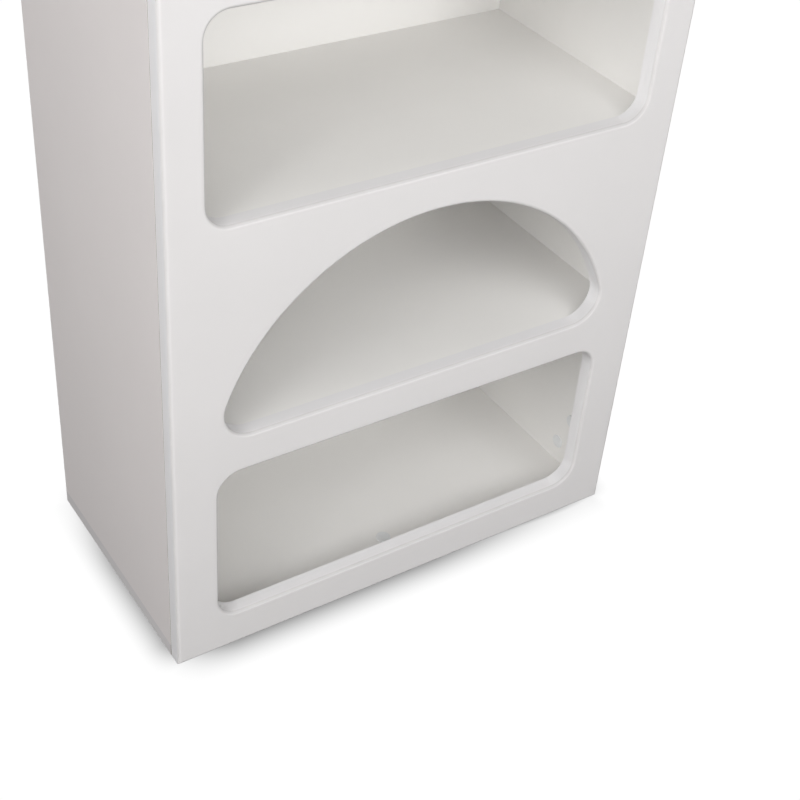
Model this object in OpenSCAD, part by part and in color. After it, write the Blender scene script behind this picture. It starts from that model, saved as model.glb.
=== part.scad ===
// Four-tier children's bookcase with a cut-out front panel.
// Flat-pack carcass of 16 mm board behind an 18 mm front panel that covers
// the whole front: the two sides stand on the bottom board, and cam fittings
// and dowels hold the joints.  Millimetres, +Z up, front towards -Y, origin
// at the centre of the footprint on the floor.

/* [Carcass] */
// Overall width
width = 600; // [580:1:640]
// Overall depth, front face to rear edge
depth = 313; // [300:1:340]
// Board thickness of the sides, shelves, bottom and top
board = 16; // [15:0.5:16.5]
// Thickness of the front panel
front_t = 18; // [16:0.5:19]
// Thickness of the back panel
back_t = 3; // [2.5:0.5:4]
// Distance from the rear edge to the back panel's outer face
back_inset = 10; // [8:0.5:14]

/* [Tiers] */
// Height of the bottom rail of the front panel
rail_bottom = 48; // [44:0.5:60]
// Height of the solid rails between cut-outs, and of each shelf's drop below the next cut-out
rail = 44; // [40:0.5:50]
// Distance from one shelf top to the next
pitch = 251.5; // [248:0.5:262]
// Height of the lowest shelf's top
first_shelf = 300.5; // [300:0.5:306]

/* [Cut-outs] */
// Half width of the lowest rectangular cut-out
slot_1_half = 248.5; // [220:0.5:252]
// Corner radius of the lowest rectangular cut-out
slot_1_r = 27.5; // [15:0.5:40]
// Half width of the upper rectangular cut-out
slot_3_half = 258; // [220:0.5:260]
// Corner radius of the upper rectangular cut-out
slot_3_r = 25; // [15:0.5:40]
// Radius of the arched cut-outs' crown
arch_r = 254; // [246:0.5:256]
// Radius of the arched cut-outs' lower corners
arch_fillet = 32; // [24:0.5:36]

/* [Edges] */
// Round-over on the front edges of the front panel and its cut-outs
edge_r = 4; // [2:0.5:5]
// Small round on the panel edges either side of the visible seam
seam_r = 1; // [1:0.5:2]

/* [Fittings] */
// Diameter of the cam housings
cam_d = 15; // [12:1:15]
// Distance from a joint to the centre of its cam
cam_reach = 34; // [30:1:36]
// The same distance where the sides meet the bottom and top boards
end_reach = 30; // [28:1:36]
// Distance of the middle front cams to the right of the centre line
mid_cam_x = 2.5; // [0:0.5:10]
// Diameter of the cover caps over the cams
cap_d = 18; // [17:0.5:20]
// Diameter of the wooden dowels
dowel_d = 8; // [6:1:8]
// Length of the wooden dowels
dowel_l = 30; // [24:1:30]

/* [Hidden] */
$fn = 72;

paint = [0.90, 0.90, 0.90];
paint_in = [0.86, 0.865, 0.85];
zinc = [0.66, 0.68, 0.71];
beech = [0.80, 0.66, 0.48];
cap_grey = [0.80, 0.81, 0.82];

// levels
shelf_z = [first_shelf, first_shelf + pitch, first_shelf + 2 * pitch];   // shelf tops
height = first_shelf + 3 * pitch + 5;                                    // 1060
slot_1_z = [rail_bottom, first_shelf - rail - 1.5];
slot_3_z = [shelf_z[1], shelf_z[2] - rail - 1.5];
// the crown's tangent to the corner arcs lies on a 44-117-125 triangle
tri_c = 0.936;
tri_s = 0.352;
fil_x = tri_c * (arch_r - arch_fillet);           // corner arc centre, from the middle
fil_dz = tri_s * (arch_r - arch_fillet);          // corner arc centre, above the crown centre

// depth stations
y0 = -depth / 2;                 // front face
yj = y0 + front_t;               // joint behind the front panel
y1 = depth / 2;                  // rear edges
yb = y1 - back_inset - back_t;   // inner face of the back panel
xi = width / 2 - board;          // inner face of the sides
xm = width / 2 - board / 2;      // middle of the side boards
groove = 6;                      // depth of the back panel's groove

// rows of fittings
row_y = [y0 + 71, y1 - 50];                            // cams across a board's end
peg_y = [y0 + 103, y1 - 82];                           // dowels across a board's end
side_cam_z = [92, 382.5, 677.5, height - 92];          // side to front panel
side_peg_z = [150, 470, height - 470, height - 150];
peg_x = 160;                                           // dowels along a board's front edge
deck_mid = [board / 2, shelf_z[0] - board / 2, shelf_z[1] - board / 2,
            shelf_z[2] - board / 2, height - board / 2];  // middles of the five decks

cam_h = 12.5;
cam_well = 13;
bolt_hole = 11.5;
slack = 0.1;

// ---------- placing helpers ----------
// stands a drawing in the panel's plane: x across, y up, thickness towards -Y
module upright(y_rear) { translate([0, y_rear, 0]) rotate([90, 0, 0]) children(); }
// turns a shape modelled along +Z to lie along +Y / -Y / +X / -X
module to_py() { rotate([-90, 0, 0]) children(); }
module to_ny() { rotate([90, 0, 0]) children(); }
module to_px() { rotate([0, 90, 0]) children(); }
module to_nx() { rotate([0, -90, 0]) children(); }

// ---------- fittings, each modelled at its joint with +Z into the board with the cam ----------
// threaded end below z = 0, ball head at the cam's centre, which is "reach" from the joint
module cam_bolt(reach = cam_reach) {
  rotate_extrude()
    polygon(concat(
      [[0, -11], [1.6, -11]],
      [for (i = [0 : 8]) each [[1.9, -10.6 + i * 1.15], [2.4, -10.2 + i * 1.15]]],
      [[1.9, 0.02], [3.4, 0.02], [3.4, 1.2], [2.9, 1.8], [2.9, reach - 9], [1.7, reach - 8.2],
       [1.7, reach - 2.6], [2.8, reach - 2.2], [3.1, reach - 1.2], [3.1, reach + 0.4],
       [2.4, reach + 1.4], [0, reach + 1.4]]));
}
module cam_bolt_hole() { translate([0, 0, -bolt_hole]) cylinder(d = 5, h = bolt_hole + 0.5); }
module cam_bolt_bore(reach = cam_reach) { translate([0, 0, -1]) cylinder(d = 7, h = reach + 1); }

// housing: face at z = 0, body below, bolt arrives from -X at half the board's depth
module cam() {
  translate([0, 0, -cam_h])
    difference() {
      cylinder(d = cam_d - 2 * slack, h = cam_h);
      // chamber for the bolt's head
      translate([0, 0, 1]) cylinder(r = 3.9, h = 7.2);
      // slot for the bolt's neck
      translate([0, 0, cam_h - board / 2]) translate([-cam_d, -2.1, -2.1]) cube([cam_d, 4.2, 4.2]);
      // mouth that the head enters by
      translate([0, 0, cam_h - board / 2]) rotate([90, 0, 0]) cylinder(d = 6.8, h = cam_d);
      // driver recess
      for (a = [0, 90]) rotate([0, 0, a + 45]) translate([-4, -0.8, cam_h - 2.6]) cube([8, 1.6, 4]);
      translate([-5.8, -0.6, cam_h - 1.2]) cube([11.6, 1.2, 2]);
    }
}
module cam_hole() { translate([0, 0, -cam_well]) cylinder(d = cam_d, h = cam_well + 1); }

// cover cap lying on the board over a cam, held by a cross-shaped plug in its driver recess
module cam_cap() {
  r = cap_d / 2;
  rotate_extrude()
    polygon(concat([[0, 0], [r - 0.1, 0], [r, 0.1]],
      [for (a = [0 : 15 : 90]) [r - 0.7 + 0.7 * cos(a), 0.6 + 0.7 * sin(a)]],
      [[r - 1.7, 1.3], [r - 2, 1.15], [0, 1.15]]));
  for (a = [45, 135]) rotate([0, 0, a]) translate([-3.8, -0.7, -2.3]) cube([7.6, 1.4, 2.8]);
}

module dowel() {
  r = dowel_d / 2 - 0.05;
  rotate_extrude()
    polygon([[0, -dowel_l / 2], [r - 1, -dowel_l / 2], [r, -dowel_l / 2 + 1], [r, dowel_l / 2 - 1],
             [r - 1, dowel_l / 2], [0, dowel_l / 2]]);
}
// a dowel across a joint: 10 mm in the face board, the rest in the edge board
module joint_dowel() { translate([0, 0, dowel_l / 2 - 10]) dowel(); }
module face_peg_hole() { translate([0, 0, -11]) cylinder(d = dowel_d, h = 12); }
module edge_peg_hole() { translate([0, 0, -1]) cylinder(d = dowel_d, h = dowel_l - 10 + 2); }

// ---------- positions, each joint's axis starting on the joint plane ----------
// boards meeting the front panel: bolts along +Y
module at_front_bolts() {
  for (s = [-1, 1], z = side_cam_z) translate([s * xm, yj, z]) to_py() children();
  for (z = deck_mid) translate([mid_cam_x, yj, z]) to_py() children();
}
module at_front_pegs() {
  for (s = [-1, 1], z = side_peg_z) translate([s * xm, yj, z]) to_py() children();
  for (s = [-1, 1], z = deck_mid) translate([s * peg_x, yj, z]) to_py() children();
}
// sides standing on the bottom board: bolts along +Z
module at_end_bolts() { for (s = [-1, 1], y = row_y) translate([s * xm, y, board]) children(); }
module at_end_pegs() { for (s = [-1, 1], y = peg_y) translate([s * xm, y, board]) children(); }
// shelves meeting the left side: bolts along +X
module at_left_bolts() { for (z = [deck_mid[1], deck_mid[2], deck_mid[3]], y = row_y) translate([-xi, y, z]) to_px() children(); }
module at_left_pegs() { for (z = [deck_mid[1], deck_mid[2], deck_mid[3]], y = peg_y) translate([-xi, y, z]) to_px() children(); }
module at_top() { translate([0, 0, height]) mirror([0, 0, 1]) children(); }
module at_right() { mirror([1, 0, 0]) children(); }

// ---------- front panel ----------
// section of the round-over around a cut-out: x is measured outwards from the cut edge
module round_section(e) {
  difference() {
    translate([e - 1, front_t - edge_r]) square([edge_r + 1, edge_r + 1]);
    translate([e + edge_r, front_t - edge_r]) circle(r = edge_r);
  }
}
// straight run of round-over: starts at p, turned by a, l long
module round_run(p, a, l) {
  translate([p[0], p[1], 0]) rotate([0, 0, a]) rotate([90, 0, 0]) linear_extrude(height = l) round_section(0);
}
// curved run around centre c, kept inside the polygon w
module round_bend(c, r, w) {
  intersection() {
    translate([c[0], c[1], 0]) rotate_extrude() round_section(r);
    translate([0, 0, front_t - edge_r - 1]) linear_extrude(height = edge_r + 3) polygon(w);
  }
}

module slot_cut(hw, z, r) {
  h = z[1] - z[0];
  far = r + 2 * edge_r;
  translate([0, z[0], -1]) linear_extrude(height = front_t + 2) {
    translate([-hw + r, 0]) square([2 * (hw - r), h]);
    for (s = [-1, 1]) {
      translate([s > 0 ? hw - r : -hw, r]) square([r, h - 2 * r]);
      for (v = [r, h - r])
        intersection() {
          translate([s * (hw - r), v]) circle(r = r);
          translate([s > 0 ? hw - r : -hw, v > h / 2 ? v : 0]) square([r, r]);
        }
    }
  }
  translate([0, z[0], 0]) {
    round_run([hw, h - r], 0, h - 2 * r);
    round_run([-hw + r, h], 90, 2 * (hw - r));
    round_run([-hw, r], 180, h - 2 * r);
    round_run([hw - r, 0], 270, 2 * (hw - r));
    for (s = [-1, 1], v = [-1, 1]) {
      c = [s * (hw - r), v > 0 ? h - r : r];
      round_bend(c, r, [c, c + [s * far, 0], c + [s * far, v * far], c + [0, v * far]]);
    }
  }
}

module arch_cut(zb) {
  cz = zb + arch_fillet - fil_dz;      // crown centre
  cf = zb + arch_fillet;               // corner arc centres
  k = 60;
  crown = [[-fil_x, cf], [fil_x, cf], [fil_x + k * tri_c, cf + k * tri_s],
           [300, cf + 300], [-300, cf + 300], [-fil_x - k * tri_c, cf + k * tri_s]];
  // cut edge
  translate([0, 0, -1]) linear_extrude(height = front_t + 2) {
    intersection() {
      translate([0, cz]) circle(r = arch_r, $fn = 180);
      polygon(crown);
    }
    for (s = [-1, 1])
      intersection() {
        translate([s * fil_x, cf]) circle(r = arch_fillet);
        polygon([[s * fil_x, cf], [s * (fil_x + k * tri_c), cf + k * tri_s], [s * (fil_x + k), cf - k], [s * fil_x, cf - k]]);
      }
    translate([-fil_x, zb]) square([2 * fil_x, arch_fillet]);
  }
  // round-over
  intersection() {
    translate([0, cz, 0]) rotate_extrude($fn = 180) round_section(arch_r);
    translate([0, 0, front_t - edge_r - 1]) linear_extrude(height = edge_r + 3) polygon(crown);
  }
  for (s = [-1, 1])
    round_bend([s * fil_x, cf], arch_fillet,
      [[s * fil_x, cf], [s * (fil_x + k * tri_c), cf + k * tri_s], [s * (fil_x + k), cf - k], [s * fil_x, cf - k]]);
  round_run([fil_x, zb], 270, 2 * fil_x);
}

module panel_blank() {
  // horizontal section swept upwards, trimmed by the vertical section swept across
  intersection() {
    linear_extrude(height = height)
      difference() {
        translate([-width / 2, y0]) square([width, front_t]);
        for (s = [-1, 1]) {
          difference() {
            translate([s > 0 ? width / 2 - edge_r : -width / 2 - 1, y0 - 1]) square([edge_r + 1, edge_r + 1]);
            translate([s * (width / 2 - edge_r), y0 + edge_r]) circle(r = edge_r);
          }
          difference() {
            translate([s > 0 ? width / 2 - seam_r : -width / 2 - 1, yj - seam_r]) square([seam_r + 1, seam_r + 1]);
            translate([s * (width / 2 - seam_r), yj - seam_r]) circle(r = seam_r);
          }
        }
      }
    // same rounding along the top and bottom front edges
    translate([-width / 2 - 1, 0, 0]) rotate([90, 0, 90]) linear_extrude(height = width + 2)
      difference() {
        translate([y0, 0]) square([front_t, height]);
        for (v = [0, 1])
          difference() {
            translate([y0 - 1, v > 0 ? height - edge_r : -1]) square([edge_r + 1, edge_r + 1]);
            translate([y0 + edge_r, v > 0 ? height - edge_r : edge_r]) circle(r = edge_r);
          }
      }
  }
}

module front_panel() {
  color(paint)
    difference() {
      panel_blank();
      upright(yj) slot_cut(slot_1_half, slot_1_z, slot_1_r);
      upright(yj) arch_cut(shelf_z[0]);
      upright(yj) slot_cut(slot_3_half, slot_3_z, slot_3_r);
      upright(yj) arch_cut(shelf_z[2]);
      at_front_bolts() cam_bolt_hole();
      at_front_pegs() face_peg_hole();
    }
}

// ---------- carcass ----------
module left_side_panel() {
  color(paint)
    difference() {
      // section in plan, with the seam round on its outer front edge
      translate([0, 0, board]) linear_extrude(height = height - 2 * board)
        difference() {
          translate([-width / 2, yj]) square([board, y1 - yj]);
          difference() {
            translate([-width / 2 - 1, yj - 1]) square([seam_r + 1, seam_r + 1]);
            translate([-width / 2 + seam_r, yj + seam_r]) circle(r = seam_r);
          }
        }
      // groove for the back panel
      translate([-xi - groove, yb - slack, board - 1]) cube([groove + 1, back_t + 2 * slack, height - 2 * board + 2]);
      // joint to the front panel
      for (z = side_cam_z) {
        translate([-xi, yj + cam_reach, z]) to_px() cam_hole();
        translate([-xm, yj, z]) to_py() cam_bolt_bore();
      }
      for (z = side_peg_z) translate([-xm, yj, z]) to_py() edge_peg_hole();
      // joints to the bottom and top boards
      for (y = row_y) {
        translate([-xi, y, board + end_reach]) to_px() cam_hole();
        translate([-xm, y, board]) cam_bolt_bore(end_reach);
        at_top() translate([-xi, y, board + end_reach]) to_px() cam_hole();
        at_top() translate([-xm, y, board]) cam_bolt_bore(end_reach);
      }
      for (y = peg_y) {
        translate([-xm, y, board]) edge_peg_hole();
        at_top() translate([-xm, y, board]) edge_peg_hole();
      }
      // joints to the shelves
      at_left_bolts() cam_bolt_hole();
      at_left_pegs() face_peg_hole();
    }
}
module right_side_panel() { at_right() left_side_panel(); }

module end_board() {
  difference() {
    translate([-width / 2, yj, 0]) cube([width, y1 - yj, board]);
    translate([-xi - groove, yb - slack, board - groove]) cube([2 * (xi + groove), back_t + 2 * slack, groove + 1]);
    translate([mid_cam_x, yj + cam_reach, board]) cam_hole();
    translate([mid_cam_x, yj, board / 2]) to_py() cam_bolt_bore();
    for (s = [-1, 1]) translate([s * peg_x, yj, board / 2]) to_py() edge_peg_hole();
    at_end_bolts() cam_bolt_hole();
    at_end_pegs() face_peg_hole();
  }
}
module bottom_board() { color(paint) end_board(); }
module top_board() {
  color(paint)
    difference() {
      at_top() end_board();
      // pilot holes for the wall bracket
      at_bracket() for (s = [-1, 1]) translate([s * 8, -12, 0]) cylinder(d = 2.5, h = 12);
    }
}

module shelf(top) {
  color(paint_in)
    difference() {
      translate([-xi, yj, top - board]) cube([2 * xi, yb - 0.2 - yj, board]);
      translate([0, 0, top - board]) mirror([0, 0, 1]) translate([mid_cam_x, yj + cam_reach, 0]) cam_hole();
      translate([mid_cam_x, yj, top - board / 2]) to_py() cam_bolt_bore();
      for (s = [-1, 1]) {
        translate([s * peg_x, yj, top - board / 2]) to_py() edge_peg_hole();
        for (y = row_y) {
          translate([s * (xi - cam_reach), y, top - board]) mirror([0, 0, 1]) cam_hole();
          translate([s * xi, y, top - board / 2]) rotate([0, -s * 90, 0]) cam_bolt_bore();
        }
        for (y = peg_y) translate([s * xi, y, top - board / 2]) rotate([0, -s * 90, 0]) edge_peg_hole();
      }
    }
}
module lower_shelf() { shelf(shelf_z[0]); }
module middle_shelf() { shelf(shelf_z[1]); }
module upper_shelf() { shelf(shelf_z[2]); }

module back_panel() {
  color(paint_in)
    difference() {
      translate([-xi - groove + 0.5, yb, board - groove + 0.5])
        cube([2 * (xi + groove - 0.5), back_t, height - 2 * (board - groove + 0.5)]);
      at_bracket() translate([0, -1, -22]) to_py() cylinder(d = 5.5, h = back_t + 3);
    }
}

// ---------- cams and their caps ----------
// each set places its children with +Z out of the board and -X towards the bolt's joint
module side_cam_set() {
  for (z = side_cam_z) translate([-xi, yj + cam_reach, z]) rotate([0, 90, 0]) rotate([0, 0, 90]) children();
  for (y = row_y) {
    translate([-xi, y, board + end_reach]) rotate([0, 90, 0]) rotate([0, 0, 180]) children();
    translate([-xi, y, height - board - end_reach]) rotate([0, 90, 0]) children();
  }
}
module deck_cam_set() { translate([mid_cam_x, yj + cam_reach, board]) rotate([0, 0, 90]) children(); }
module shelf_cam_set(top) {
  translate([0, 0, top - board]) mirror([0, 0, 1]) {
    translate([mid_cam_x, yj + cam_reach, 0]) rotate([0, 0, 90]) children();
    for (y = row_y) {
      translate([-xi + cam_reach, y, 0]) children();
      translate([xi - cam_reach, y, 0]) rotate([0, 0, 180]) children();
    }
  }
}
module left_side_cams() { color(zinc) side_cam_set() cam(); }
module right_side_cams() { color(zinc) at_right() side_cam_set() cam(); }
module bottom_board_cam() { color(zinc) deck_cam_set() cam(); }
module top_board_cam() { color(zinc) at_top() deck_cam_set() cam(); }
module lower_shelf_cams() { color(zinc) shelf_cam_set(shelf_z[0]) cam(); }
module middle_shelf_cams() { color(zinc) shelf_cam_set(shelf_z[1]) cam(); }
module upper_shelf_cams() { color(zinc) shelf_cam_set(shelf_z[2]) cam(); }
module left_side_cam_caps() { color(cap_grey) side_cam_set() cam_cap(); }
module right_side_cam_caps() { color(cap_grey) at_right() side_cam_set() cam_cap(); }
module bottom_board_cam_cap() { color(cap_grey) deck_cam_set() cam_cap(); }
module top_board_cam_cap() { color(cap_grey) at_top() deck_cam_set() cam_cap(); }
module lower_shelf_cam_caps() { color(cap_grey) shelf_cam_set(shelf_z[0]) cam_cap(); }
module middle_shelf_cam_caps() { color(cap_grey) shelf_cam_set(shelf_z[1]) cam_cap(); }
module upper_shelf_cam_caps() { color(cap_grey) shelf_cam_set(shelf_z[2]) cam_cap(); }

// ---------- bolts and dowels, grouped by the board they are fixed in ----------
module front_panel_bolts() { color(zinc) at_front_bolts() cam_bolt(); }
module bottom_board_bolts() { color(zinc) at_end_bolts() cam_bolt(end_reach); }
module top_board_bolts() { color(zinc) at_top() at_end_bolts() cam_bolt(end_reach); }
module left_side_bolts() { color(zinc) at_left_bolts() cam_bolt(); }
module right_side_bolts() { color(zinc) at_right() at_left_bolts() cam_bolt(); }
module front_panel_dowels() { color(beech) at_front_pegs() joint_dowel(); }
module bottom_board_dowels() { color(beech) at_end_pegs() joint_dowel(); }
module top_board_dowels() { color(beech) at_top() at_end_pegs() joint_dowel(); }
module left_side_dowels() { color(beech) at_left_pegs() joint_dowel(); }
module right_side_dowels() { color(beech) at_right() at_left_pegs() joint_dowel(); }

// ---------- wall fixing inside the top tier ----------
// corner under the top board, against the back panel
module at_bracket() { translate([0, yb, height - board]) children(); }
module wall_bracket() {
  color(zinc)
    at_bracket()
      difference() {
        union() {
          translate([-15, -32, -2]) cube([30, 32, 2]);
          translate([-15, -2, -34]) cube([30, 2, 33]);
        }
        for (s = [-1, 1]) translate([s * 8, -12, -3]) cylinder(d = 4, h = 4);
        translate([0, -3, -22]) to_py() cylinder(d = 5.5, h = 4);
      }
}
module wall_bracket_screws() {
  color(zinc)
    at_bracket()
      for (s = [-1, 1]) translate([s * 8, -12, 0])
        difference() {
          rotate_extrude()
            polygon([[0, -4.2], [2.4, -4.2], [3.4, -3.4], [3.4, -2], [1.8, -2], [1.8, -0.05], [1.2, 0], [1.2, 8], [0, 10]]);
          for (a = [0, 90]) rotate([0, 0, a]) translate([-1.6, -0.4, -5]) cube([3.2, 0.8, 2]);
        }
}

front_panel();
left_side_panel();
right_side_panel();
bottom_board();
top_board();
lower_shelf();
middle_shelf();
upper_shelf();
back_panel();
left_side_cams();
right_side_cams();
bottom_board_cam();
top_board_cam();
lower_shelf_cams();
middle_shelf_cams();
upper_shelf_cams();
left_side_cam_caps();
right_side_cam_caps();
bottom_board_cam_cap();
top_board_cam_cap();
lower_shelf_cam_caps();
middle_shelf_cam_caps();
upper_shelf_cam_caps();
front_panel_bolts();
bottom_board_bolts();
top_board_bolts();
left_side_bolts();
right_side_bolts();
front_panel_dowels();
bottom_board_dowels();
top_board_dowels();
left_side_dowels();
right_side_dowels();
wall_bracket();
wall_bracket_screws();
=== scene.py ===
"""Looks for the arched bookcase: materials, small bevels, stage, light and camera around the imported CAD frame."""
import math

import bpy
from mathutils import Matrix, Vector


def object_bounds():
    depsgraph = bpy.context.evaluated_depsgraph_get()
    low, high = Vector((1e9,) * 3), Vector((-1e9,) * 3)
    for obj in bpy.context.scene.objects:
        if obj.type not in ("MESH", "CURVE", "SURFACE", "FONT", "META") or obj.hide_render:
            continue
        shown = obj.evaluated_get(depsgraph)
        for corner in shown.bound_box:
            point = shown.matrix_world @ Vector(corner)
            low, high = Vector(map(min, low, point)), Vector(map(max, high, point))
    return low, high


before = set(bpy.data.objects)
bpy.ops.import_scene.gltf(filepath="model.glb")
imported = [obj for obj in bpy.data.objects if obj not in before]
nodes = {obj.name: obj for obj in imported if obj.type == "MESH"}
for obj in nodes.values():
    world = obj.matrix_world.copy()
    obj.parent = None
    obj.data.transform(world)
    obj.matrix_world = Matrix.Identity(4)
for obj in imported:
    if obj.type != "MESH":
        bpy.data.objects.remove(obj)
cad_lo, cad_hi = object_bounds()
W, D, H = cad_hi - cad_lo
FRONT, REAR = cad_lo.y, cad_hi.y
MM = 0.001
SEAM = FRONT + 18 * MM             # joint between the front panel and the carcass


# ---------------------------------------------------------------- node helpers
class Mat:
    """A small builder for node trees."""

    def __init__(self, name):
        self.m = bpy.data.materials.new(name)
        self.m.use_nodes = True
        self.t = self.m.node_tree
        self.t.nodes.clear()
        self.out = self.t.nodes.new("ShaderNodeOutputMaterial")

    def new(self, kind, **props):
        n = self.t.nodes.new("ShaderNode" + kind)
        for k, v in props.items():
            setattr(n, k, v)
        return n

    def put(self, socket, value):
        if isinstance(value, bpy.types.NodeSocket):
            self.t.links.new(value, socket)
        elif isinstance(value, (tuple, list)) and len(value) == 3 and socket.type == "RGBA":
            socket.default_value = (*value, 1.0)
        else:
            socket.default_value = value

    def math(self, op, a, b=0.0, c=0.0, clamp=False):
        n = self.new("Math", operation=op, use_clamp=clamp)
        for s, v in zip(n.inputs, (a, b, c)):
            self.put(s, v)
        return n.outputs[0]

    def coords(self):
        n = self.new("TexCoord")
        return n.outputs["Object"]

    def xyz(self, vector):
        n = self.new("SeparateXYZ")
        self.put(n.inputs[0], vector)
        return n.outputs[0], n.outputs[1], n.outputs[2]

    def scaled(self, vector, scale, offset=(0, 0, 0)):
        n = self.new("Mapping")
        self.put(n.inputs["Vector"], vector)
        n.inputs["Scale"].default_value = scale
        n.inputs["Location"].default_value = offset
        return n.outputs[0]

    def noise(self, vector, scale, detail=3.0, rough=0.5, distortion=0.0):
        n = self.new("TexNoise")
        self.put(n.inputs["Vector"], vector)
        n.inputs["Scale"].default_value = scale
        n.inputs["Detail"].default_value = detail
        n.inputs["Roughness"].default_value = rough
        n.inputs["Distortion"].default_value = distortion
        return n.outputs[0]

    def voronoi(self, vector, scale, feature="F1"):
        n = self.new("TexVoronoi", feature=feature)
        self.put(n.inputs["Vector"], vector)
        n.inputs["Scale"].default_value = scale
        return n.outputs["Distance"]

    def span(self, value, a, b, to0=0.0, to1=1.0, smooth=False):
        n = self.new("MapRange", interpolation_type="SMOOTHSTEP" if smooth else "LINEAR")
        n.clamp = True
        self.put(n.inputs["Value"], value)
        for k, v in (("From Min", a), ("From Max", b), ("To Min", to0), ("To Max", to1)):
            self.put(n.inputs[k], v)
        return n.outputs[0]

    def mix(self, fac, a, b, blend="MIX"):
        n = self.new("Mix", data_type="RGBA", blend_type=blend)
        self.put(n.inputs[0], fac)
        self.put(n.inputs[6], a)
        self.put(n.inputs[7], b)
        return n.outputs[2]

    def bump(self, height, strength, distance, normal=None):
        n = self.new("Bump")
        self.put(n.inputs["Height"], height)
        n.inputs["Strength"].default_value = strength
        n.inputs["Distance"].default_value = distance
        if normal is not None:
            self.put(n.inputs["Normal"], normal)
        return n.outputs[0]

    def principled(self, color, rough, normal=None, metallic=0.0, specular=0.5, coat=0.0, coat_rough=0.1, sheen=0.0):
        n = self.new("BsdfPrincipled")
        self.put(n.inputs["Base Color"], color)
        self.put(n.inputs["Roughness"], rough)
        self.put(n.inputs["Metallic"], metallic)
        n.inputs["Specular IOR Level"].default_value = specular
        n.inputs["Coat Weight"].default_value = coat
        n.inputs["Coat Roughness"].default_value = coat_rough
        if normal is not None:
            self.put(n.inputs["Normal"], normal)
        self.t.links.new(n.outputs[0], self.out.inputs[0])
        return n

    def vary(self, base, amount):
        """Two colours a little darker and lighter than base."""
        return tuple(c * (1 - amount) for c in base), tuple(min(1.0, c * (1 + amount)) for c in base)


FOIL_SHADED = (0.736, 0.719, 0.715)      # front foil, painted darker than the same foil on its edges: painted shade standing in for the strong front light
OUTER_SHADED = (0.893, 0.846, 0.834)      # outer faces of the sides: the same white as inside, painted darker and warmer as shade and tint of the light on them
CUT_LIT = (0.910, 0.899, 0.906)        # cut edges of the front panel: the same foil painted paler, painted light
INNER = (0.905, 0.893, 0.872)      # faces inside the carcass
FOOT = (0.795, 0.768, 0.770)       # ends of the bottom board
RAW = (0.30, 0.255, 0.20)          # raw board behind the joint, dark: partly the bare board, partly painted shade in the joint


def foil(name, base=FOIL_SHADED, edge=CUT_LIT, peel=1.0, rough=0.60):
    """Matt white foil on fibreboard: faint cloudiness, orange-peel relief and a few tiny specks.

    Its tone follows the face direction as painted shade and light: darker on the front face, darker still over the
    round-overs and crests, paler on the cut edges."""
    m = Mat(name)
    p = m.coords()
    cloud = m.span(m.noise(p, 7.0, 4.0, 0.55), 0.3, 0.7)
    tone = m.mix(cloud, *m.vary(base, 0.012))
    nx, ny, nz = m.xyz(m.new("NewGeometry").outputs["Normal"])
    # painted shade: the round-overs a touch darker and the upward crests darker still, to tame the light they catch
    roundover_shade = m.mix(cloud, *m.vary(tuple(c * 0.92 for c in base), 0.012))
    crest_shade = m.mix(cloud, *m.vary(tuple(c * 0.84 for c in base), 0.012))
    roundover_shade = m.mix(m.span(nz, 0.1, 0.5, smooth=True), roundover_shade, crest_shade)
    tone = m.mix(m.span(ny, -0.99, -0.80, smooth=True), tone, roundover_shade)
    # painted light: the cut faces paler than the front face, the upward sills a touch less pale
    upward = m.span(nz, 0.3, 0.7, smooth=True)
    cut = m.math("ADD",
                 m.math("MULTIPLY", m.span(ny, -0.50, -0.06, smooth=True), m.math("SUBTRACT", 1.0, upward)),
                 m.math("MULTIPLY", m.span(ny, -0.32, -0.03, smooth=True), upward))
    paler = m.mix(upward, edge, tuple(c * 0.955 for c in edge))
    tone = m.mix(cut, tone, m.mix(cloud, m.mix(0.012, paler, (0, 0, 0)), paler))
    # painted shade: faces turned left and up, as at the lower right corners of the openings, a touch darker
    corner = m.span(m.math("MULTIPLY", nx, nz), -0.05, -0.5)
    tone = m.mix(corner, tone, (0.86, 0.86, 0.86), "MULTIPLY")
    speck = m.span(m.voronoi(p, 260.0), 0.0, 0.05, 1.0, 0.0)
    rare = m.span(m.noise(p, 31.0, 2.0), 0.66, 0.72)
    tone = m.mix(m.math("MULTIPLY", m.math("MULTIPLY", speck, rare), 0.10), tone, (0.45, 0.43, 0.40))
    peel_h = m.noise(p, 620.0, 2.0, 0.4)
    wave = m.noise(p, 42.0, 2.0, 0.4)
    n = m.bump(wave, 0.10, 0.0006)
    n = m.bump(peel_h, 0.22 * peel, 0.00012, n)
    r = m.span(m.noise(p, 90.0, 3.0), 0.3, 0.7, rough - 0.03, rough + 0.04)
    m.principled(tone, r, n, specular=0.18)
    return m.m


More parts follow.
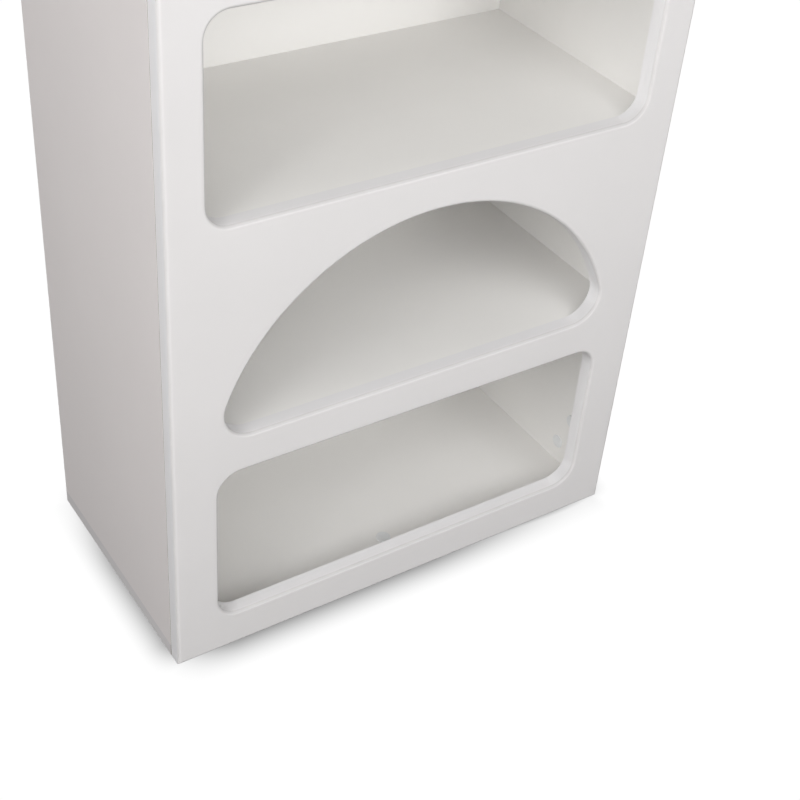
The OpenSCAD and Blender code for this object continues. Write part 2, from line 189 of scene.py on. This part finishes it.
def melamine(name, base=INNER, rough=0.50, outer=None, raw=None):
    """White melamine paper on particle board: fine pearl relief."""
    m = Mat(name)
    p = m.coords()
    lo, hi = m.vary(base, 0.014)
    cloud = m.span(m.noise(p, 5.0, 4.0, 0.55), 0.3, 0.7)
    tone = m.mix(cloud, lo, hi)
    if outer:
        # the outer faces get a darker, warmer copy of the inner white: painted shade and tint of the light there
        px, py, pz = m.xyz(p)
        out_lo, out_hi = m.vary(outer, 0.012)
        outside = m.span(m.math("ABSOLUTE", px), W / 2 - 0.0012, W / 2 - 0.0006)
        face = m.mix(cloud, out_lo, out_hi)
        # the lowest 16 mm of the outer faces, the bottom board's ends, get a greyer tone
        pz = m.xyz(p)[2]
        face = m.mix(m.span(pz, 16.1 * MM, 15.9 * MM), face, m.mix(cloud, *m.vary(FOOT, 0.012)))
        tone = m.mix(outside, tone, face)
    if raw:
        # front edges behind the front panel get a dark raw-board colour: partly the bare board, partly painted shade
        # darkening the joint line
        py = m.xyz(p)[1]
        tone = m.mix(m.span(py, SEAM + 0.5 * MM, SEAM + 0.3 * MM), tone, raw)
    pearl = m.noise(p, 900.0, 3.0, 0.6)
    pores = m.span(m.voronoi(p, 420.0), 0.02, 0.25)
    n = m.bump(pores, 0.10, 0.00008)
    n = m.bump(pearl, 0.20, 0.0001, n)
    r = m.span(m.noise(p, 70.0, 3.0), 0.3, 0.7, rough - 0.03, rough + 0.05)
    m.principled(tone, r, n, specular=0.4)
    return m.m


def hardboard(name, face=INNER):
    """Thin hardboard: white printed face towards the shelves, raw brown fibre on the wall side."""
    m = Mat(name)
    p = m.coords()
    lo, hi = m.vary(face, 0.012)
    white = m.mix(m.span(m.noise(p, 6.0, 4.0), 0.3, 0.7), lo, hi)
    fibre = m.noise(m.scaled(p, (1.0, 1.0, 0.35)), 240.0, 6.0, 0.65)
    mottle = m.noise(p, 26.0, 5.0, 0.6)
    brown = m.mix(m.span(fibre, 0.3, 0.7), (0.245, 0.135, 0.065), (0.40, 0.25, 0.14))
    brown = m.mix(m.span(mottle, 0.35, 0.65, 0.0, 0.35), brown, (0.30, 0.17, 0.085))
    geo = m.new("NewGeometry")
    nx, ny, nz = m.xyz(geo.outputs["Normal"])
    is_face = m.span(ny, -0.6, -0.8)
    color = m.mix(is_face, brown, white)
    mesh_wave = m.noise(p, 1500.0, 2.0, 0.5)
    n = m.bump(fibre, 0.12, 0.0002)
    n = m.bump(mesh_wave, 0.15, 0.00008, n)
    r = m.span(is_face, 0.0, 1.0, 0.82, 0.5)
    m.principled(color, r, n, specular=0.35)
    return m.m


def zinc(name, base=(0.46, 0.475, 0.49)):
    """Die-cast zinc: grainy skin, slightly brighter worn high spots."""
    m = Mat(name)
    p = m.coords()
    grain = m.noise(p, 1700.0, 4.0, 0.6)
    blot = m.noise(p, 300.0, 3.0, 0.5)
    tone = m.mix(m.span(blot, 0.35, 0.65), tuple(c * 0.86 for c in base), tuple(c * 1.12 for c in base))
    n = m.bump(grain, 0.35, 0.00015)
    r = m.span(grain, 0.3, 0.7, 0.42, 0.62)
    m.principled(tone, r, n, metallic=0.75, specular=0.5)
    return m.m


def cap_plastic(name, base=(0.84, 0.85, 0.855)):
    """Pale grey moulded plastic: fine spark-eroded grain and a faint sprue cloud."""
    m = Mat(name)
    p = m.coords()
    grain = m.noise(p, 2600.0, 3.0, 0.6)
    cloud = m.noise(p, 140.0, 3.0, 0.5)
    lo, hi = m.vary(base, 0.03)
    tone = m.mix(m.span(cloud, 0.3, 0.7), lo, hi)
    m.principled(tone, m.span(grain, 0.3, 0.7, 0.40, 0.54), m.bump(grain, 0.25, 0.00006), specular=0.45)
    return m.m


def plated(name):
    """Bright zinc-plated steel with a faint yellow cast and a fine grain."""
    m = Mat(name)
    p = m.coords()
    grain = m.noise(m.scaled(p, (1.0, 1.0, 1.0)), 900.0, 3.0, 0.5)
    tone = m.mix(m.span(m.noise(p, 120.0, 3.0), 0.35, 0.65), (0.56, 0.55, 0.50), (0.68, 0.68, 0.66))
    n = m.bump(grain, 0.2, 0.0001)
    m.principled(tone, m.span(grain, 0.3, 0.7, 0.25, 0.42), n, metallic=1.0)
    return m.m


def powder(name):
    """White powder coat: pebbled skin."""
    m = Mat(name)
    p = m.coords()
    peel = m.noise(p, 1100.0, 2.0, 0.5)
    tone = m.mix(m.span(m.noise(p, 60.0, 3.0), 0.3, 0.7), (0.77, 0.765, 0.755), (0.82, 0.815, 0.805))
    m.principled(tone, 0.38, m.bump(peel, 0.3, 0.0002), specular=0.5)
    return m.m


def beech(name):
    """Turned beech with short dark flecks along the grain."""
    m = Mat(name)
    p = m.coords()
    grain = m.noise(m.scaled(p, (1.0, 1.0, 1.0)), 420.0, 6.0, 0.6, 0.4)
    fleck = m.span(m.voronoi(p, 1500.0), 0.0, 0.2, 1.0, 0.0)
    tone = m.mix(m.span(grain, 0.3, 0.7), (0.52, 0.33, 0.17), (0.72, 0.52, 0.31))
    tone = m.mix(m.math("MULTIPLY", fleck, 0.5), tone, (0.33, 0.18, 0.09))
    m.principled(tone, m.span(grain, 0.3, 0.7, 0.55, 0.75), m.bump(grain, 0.3, 0.0002), specular=0.3)
    return m.m


def clad(node, material):
    o = nodes[node]
    o.data.materials.clear()
    o.data.materials.append(material)


def soften(node, width, segments=2, angle=35.0):
    """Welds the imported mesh, joins its coplanar faces and eases its sharp edges."""
    o = nodes[node]
    w = o.modifiers.new("weld", "WELD")
    w.merge_threshold = 2e-5
    d = o.modifiers.new("faces", "DECIMATE")
    d.decimate_type = "DISSOLVE"
    d.angle_limit = math.radians(0.5)
    b = o.modifiers.new("ease", "BEVEL")
    b.width = width
    b.segments = segments
    b.limit_method = "ANGLE"
    b.angle_limit = math.radians(angle)
    b.use_clamp_overlap = True
    b.harden_normals = False
    n = o.modifiers.new("shade", "WEIGHTED_NORMAL")
    n.keep_sharp = False
    n.weight = 100


FRONT_FOIL = foil("front_foil")
SIDE_FOIL = melamine("side_melamine", outer=OUTER_SHADED, raw=RAW)
DECK = melamine("shelf_melamine")
ZINC = zinc("cam_zinc")
CAPS = cap_plastic("cap_plastic")
STEEL = plated("plated_steel")
WOOD = beech("beech_dowel")
for n in nodes:
    if n == "front_panel":
        clad(n, FRONT_FOIL)
    elif n in ("left_side_panel", "right_side_panel", "bottom_board", "top_board"):
        clad(n, SIDE_FOIL)
        soften(n, 0.5 * MM)
    elif n.endswith("_shelf"):
        clad(n, DECK)
        soften(n, 0.2 * MM)
    elif n == "back_panel":
        clad(n, hardboard("back_hardboard"))
    elif n.endswith("_caps") or n.endswith("_cap"):
        clad(n, CAPS)
    elif n.endswith("_cams") or n.endswith("_cam"):
        clad(n, ZINC)
    elif n.endswith("_bolts") or n.endswith("_screws"):
        clad(n, STEEL)
    elif n.endswith("_dowels"):
        clad(n, WOOD)
    elif n == "wall_bracket":
        clad(n, powder("bracket_powder"))


# ---------------------------------------------------------------- stage
def floor_material():
    m = Mat("pale_floor")
    p = m.coords()
    px, py, pz = m.xyz(p)

    def edge_shadow(across, width, strength, inner, outer, along, length, start, rise, fade, low):
        """Soft contact shadow along a pair of edges: full near the front left corner, fading away from it."""
        inside = m.math("SUBTRACT", width / 2, m.math("ABSOLUTE", across))
        near = m.span(inside, -outer, inner, 0.0, strength, smooth=True)
        run = m.math("ADD", along, length / 2)
        near = m.math("MULTIPLY", near, m.span(run, start, start + rise, smooth=True))
        near = m.math("MULTIPLY", near, m.span(run, fade * length, length, 1.0, low, smooth=True))
        return m.math("MULTIPLY", near, m.span(run, length - 0.012, length + 0.012, 1.0, 0.0, smooth=True))

    dark = m.math("MAXIMUM",
                  edge_shadow(px, W, 2.437, 0.082, 0.0363, py, D, -0.0132, 0.0518, 0.526, 0.18),
                  edge_shadow(py, D, 3.426, 0.120, 0.0438, px, W, -0.0224, 0.1013, 0.536, 0.22))
    shade = m.math("SUBTRACT", 1.0, dark, clamp=True)
    mottle = m.span(m.noise(p, 3.0, 3.0), 0.3, 0.7, 0.996, 1.0)
    seen = m.new("Emission")
    val = m.math("MULTIPLY", shade, mottle)
    comb = m.new("CombineColor")
    for s in comb.inputs[:3]:
        m.put(s, val)
    m.put(seen.inputs["Color"], comb.outputs[0])
    seen.inputs["Strength"].default_value = 1.02
    lit = m.new("BsdfDiffuse")
    m.put(lit.inputs["Color"], (0.05, 0.05, 0.05))
    path = m.new("LightPath")
    mixer = m.new("MixShader")
    m.put(mixer.inputs[0], path.outputs["Is Camera Ray"])
    m.t.links.new(lit.outputs[0], mixer.inputs[1])
    m.t.links.new(seen.outputs[0], mixer.inputs[2])
    m.t.links.new(mixer.outputs[0], m.out.inputs[0])
    return m.m


mesh = bpy.data.meshes.new("floor")
R = 6.0
mesh.from_pydata([(-R, -R, -0.0004), (R, -R, -0.0004), (R, R, -0.0004), (-R, R, -0.0004)], [], [(0, 1, 2, 3)])
floor = bpy.data.objects.new("floor", mesh)
bpy.context.scene.collection.objects.link(floor)
floor.data.materials.append(floor_material())

# ---------------------------------------------------------------- light
LIGHTS = {
    # name: (azimuth, elevation, distance, size, watts, colour)
    "front_high": (0, 35, 3.2, 2.0, 20.2, (1, 1, 1)),
    "front_low": (0, 12, 3.2, 2.0, 32.5, (1, 1, 1)),
    "left_high": (-45, 35, 3.2, 2.0, 26.3, (1, 1, 1)),
    "side_high": (-75, 35, 3.2, 2.0, 31.1, (1, 1, 1)),
    "side_low": (-75, 12, 3.2, 2.0, 21.0, (1, 1, 1)),
    "near_left": (-45, 12, 1.7, 0.9, 2.8, (1, 1, 1)),
    "near_top": (-20, 35, 1.7, 0.9, 1.6, (1, 1, 1)),
    "near_right": (25, 12, 1.7, 0.9, 6.1, (1, 1, 1)),
    # these two light only the right side and the back
    "right_rear": (115, 30, 3.2, 2.0, 45.0, (1, 1, 1)),
    "rear": (165, 35, 3.2, 2.0, 45.0, (1, 1, 1)),
}
CENTRE = Vector((0, 0, 0.5))
for name, (az, el, dist, size, watts, colour) in LIGHTS.items():
    a, e = math.radians(az), math.radians(el)
    away = Vector((math.sin(a) * math.cos(e), -math.cos(a) * math.cos(e), math.sin(e)))
    data = bpy.data.lights.new(name, "AREA")
    data.shape = "SQUARE"
    data.size = size
    data.energy = watts
    data.color = colour
    ob = bpy.data.objects.new(name, data)
    ob.location = CENTRE + away * dist
    ob.rotation_mode = "QUATERNION"
    ob.rotation_quaternion = away.to_track_quat("Z", "Y")
    bpy.context.scene.collection.objects.link(ob)

world = bpy.data.worlds.new("studio")
bpy.context.scene.world = world
world.use_nodes = True
wt = world.node_tree
wt.nodes.clear()
bg_seen = wt.nodes.new("ShaderNodeBackground")
bg_seen.inputs["Color"].default_value = (1, 1, 1, 1)
bg_seen.inputs["Strength"].default_value = 1.02
bg_lit = wt.nodes.new("ShaderNodeBackground")
bg_lit.name = "dome"
bg_lit.inputs["Color"].default_value = (1, 1, 1, 1)
bg_lit.inputs["Strength"].default_value = 0.0
lp = wt.nodes.new("ShaderNodeLightPath")
mx = wt.nodes.new("ShaderNodeMixShader")
wo = wt.nodes.new("ShaderNodeOutputWorld")
wt.links.new(lp.outputs["Is Camera Ray"], mx.inputs[0])
wt.links.new(bg_lit.outputs[0], mx.inputs[1])
wt.links.new(bg_seen.outputs[0], mx.inputs[2])
wt.links.new(mx.outputs[0], wo.inputs[0])

# ---------------------------------------------------------------- camera, as the photographer stood
cam_data = bpy.data.cameras.new("camera")
cam = bpy.data.objects.new("camera", cam_data)
bpy.context.scene.collection.objects.link(cam)
bpy.context.scene.camera = cam
cam_data.sensor_width = 36.0
cam_data.lens = 36.0 * 1459.9137 / 800.0
cam_data.shift_x, cam_data.shift_y = -0.5 / 800.0, 0.5 / 800.0
cam_data.clip_start, cam_data.clip_end = 0.05, 50.0
rv = Vector((2.1784628, -0.6018949, 0.3890681))
rot = Matrix.Rotation(rv.length, 3, rv.normalized())       # world to view: x right, y down, z forward
basis = Matrix((rot[0], -Vector(rot[1]), -Vector(rot[2]))).transposed()
place = basis.to_4x4()
place.translation = Vector((-0.4640641 - W / 2, -1.0120301 + FRONT, 1.2489286))
cam.matrix_world = place

bpy.context.scene.view_settings.view_transform = "Standard"
bpy.context.scene.view_settings.look = "None"
